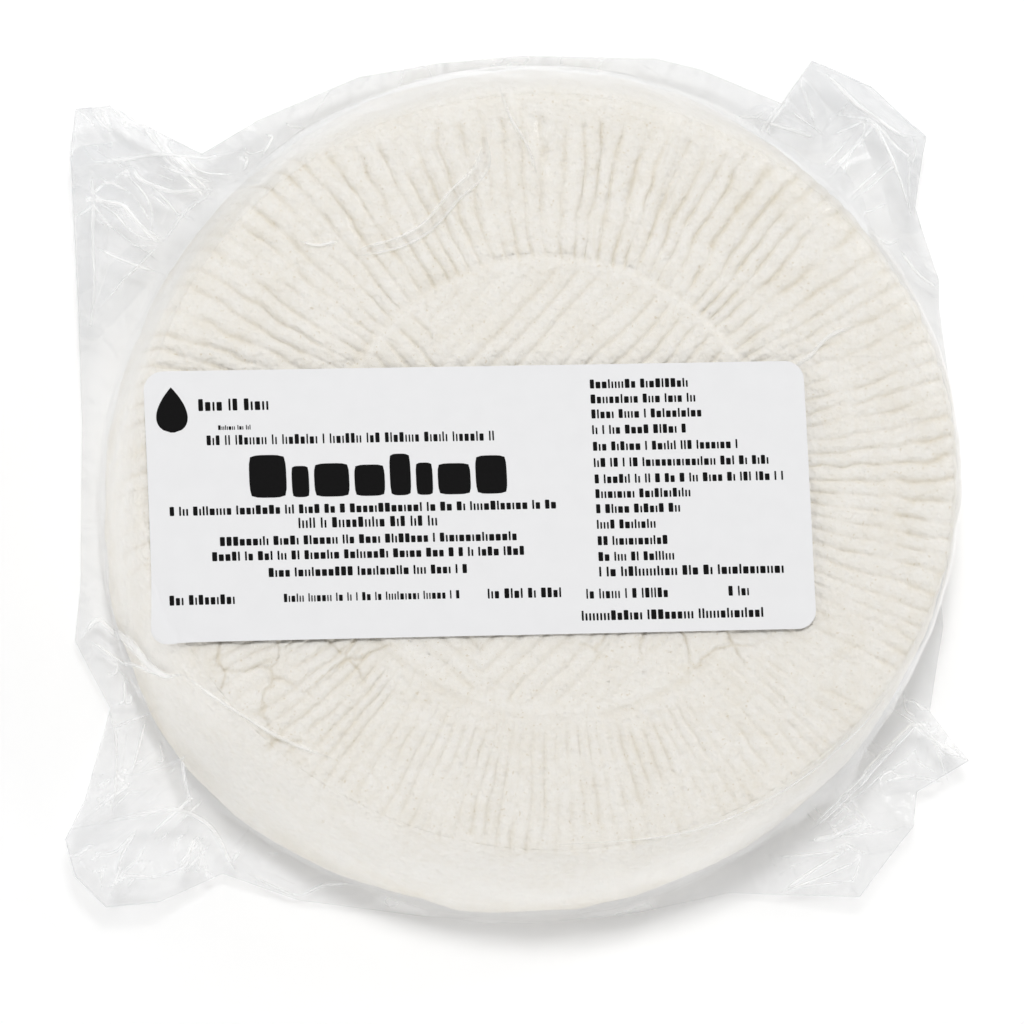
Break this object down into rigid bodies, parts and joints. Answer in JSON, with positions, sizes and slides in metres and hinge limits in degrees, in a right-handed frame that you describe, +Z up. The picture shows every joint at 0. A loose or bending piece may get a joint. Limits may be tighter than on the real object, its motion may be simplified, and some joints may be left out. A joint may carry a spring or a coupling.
{
  "type": "vacuum-packed ricotta wheel",
  "caption": "Round wheel of fresh white ricotta with a ribbed face, vacuum-packed in a clear film bag with crumpled corner ears and a plain paper label across its middle.",
  "frame": {"origin": "under the middle of the bag's box, on the surface it rests on", "axes": "+Z up, out of the ribbed face; +X along the label from its left end to its right end; +Y towards the label's top edge"},
  "size_m": [0.1768, 0.1713, 0.0415],
  "materials": {
    "clear_film": "clear, glossy, crumpled vacuum-bag film",
    "ricotta": "moist fresh curd, ribbed by its basket mould",
    "label_paper": "smooth coated white label paper",
    "print_ink": "thermal-printed black"
  },
  "bodies": {
    "root": {"bag": "clear_film", "label": "label_paper"}
  },
  "joints": []
}
